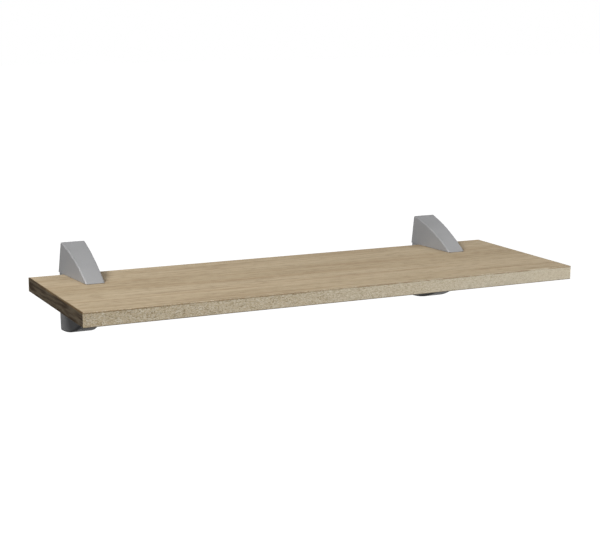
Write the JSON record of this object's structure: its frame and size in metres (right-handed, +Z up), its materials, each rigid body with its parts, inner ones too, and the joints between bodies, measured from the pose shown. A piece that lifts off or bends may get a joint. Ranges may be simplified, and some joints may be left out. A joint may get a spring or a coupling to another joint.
{
  "type": "wall shelf with clamp brackets",
  "caption": "Wall shelf: wood-decor board gripped near each end by a hidden-fixing die-cast clamp bracket with a screw-driven upper jaw.",
  "frame": {"origin": "on the wall plane, at the centre of the four wall-screw holes, level with the underside of the board", "axes": "+X along the board to the right as seen from the room, +Y into the wall, +Z up"},
  "size_m": [0.6, 0.215, 0.104],
  "materials": {
    "particle_board": "raw",
    "oak_decor": "matt textured decor sheet",
    "oak_edging": "matt textured edging",
    "silver_paint": "satin silver-grey paint",
    "zinc_plated_steel": "zinc plated",
    "spring_steel": "phosphated",
    "black_steel": "black oxide",
    "rubber_pad": "matt"
  },
  "bodies": {
    "shelf": {"board_core": "particle_board", "top_laminate": "oak_decor", "bottom_laminate": "oak_decor", "front_edging": "oak_edging", "rear_edging": "oak_edging", "left_edging": "oak_edging", "right_edging": "oak_edging", "left_wall_plate": "zinc_plated_steel", "left_lower_jaw": "silver_paint", "left_lower_pad": "rubber_pad", "left_lock_screw": "black_steel", "right_wall_plate": "zinc_plated_steel", "right_lower_jaw": "silver_paint", "right_lower_pad": "rubber_pad", "right_lock_screw": "black_steel"},
    "left_upper_jaw_slide": {"left_upper_jaw": "silver_paint", "left_upper_pad": "rubber_pad", "left_clamp_nut": "zinc_plated_steel"},
    "left_screw_turn": {"left_clamp_screw": "zinc_plated_steel", "left_washer": "zinc_plated_steel", "left_retaining_clip": "spring_steel"},
    "right_upper_jaw_slide": {"right_upper_jaw": "silver_paint", "right_upper_pad": "rubber_pad", "right_clamp_nut": "zinc_plated_steel"},
    "right_screw_turn": {"right_clamp_screw": "zinc_plated_steel", "right_washer": "zinc_plated_steel", "right_retaining_clip": "spring_steel"}
  },
  "joints": [
    {"name": "left_clamp_screw", "type": "hinge", "parent": "shelf", "child": "left_screw_turn", "pos_m": [-0.234, -0.012, -0.05], "axis": [0, 0, -1], "range_deg": [0, 4050]},
    {"name": "left_upper_jaw", "type": "slide", "parent": "shelf", "child": "left_upper_jaw_slide", "axis": [0, 0, 1], "range_m": [0, 0.009]},
    {"name": "right_clamp_screw", "type": "hinge", "parent": "shelf", "child": "right_screw_turn", "pos_m": [0.234, -0.012, -0.05], "axis": [0, 0, -1], "range_deg": [0, 4050]},
    {"name": "right_upper_jaw", "type": "slide", "parent": "shelf", "child": "right_upper_jaw_slide", "axis": [0, 0, 1], "range_m": [0, 0.009]}
  ],
  "couplings": [
    {"joint": "left_clamp_screw", "follows": "left_upper_jaw", "rad_per_m": 7854},
    {"joint": "right_clamp_screw", "follows": "right_upper_jaw", "rad_per_m": 7854}
  ]
}
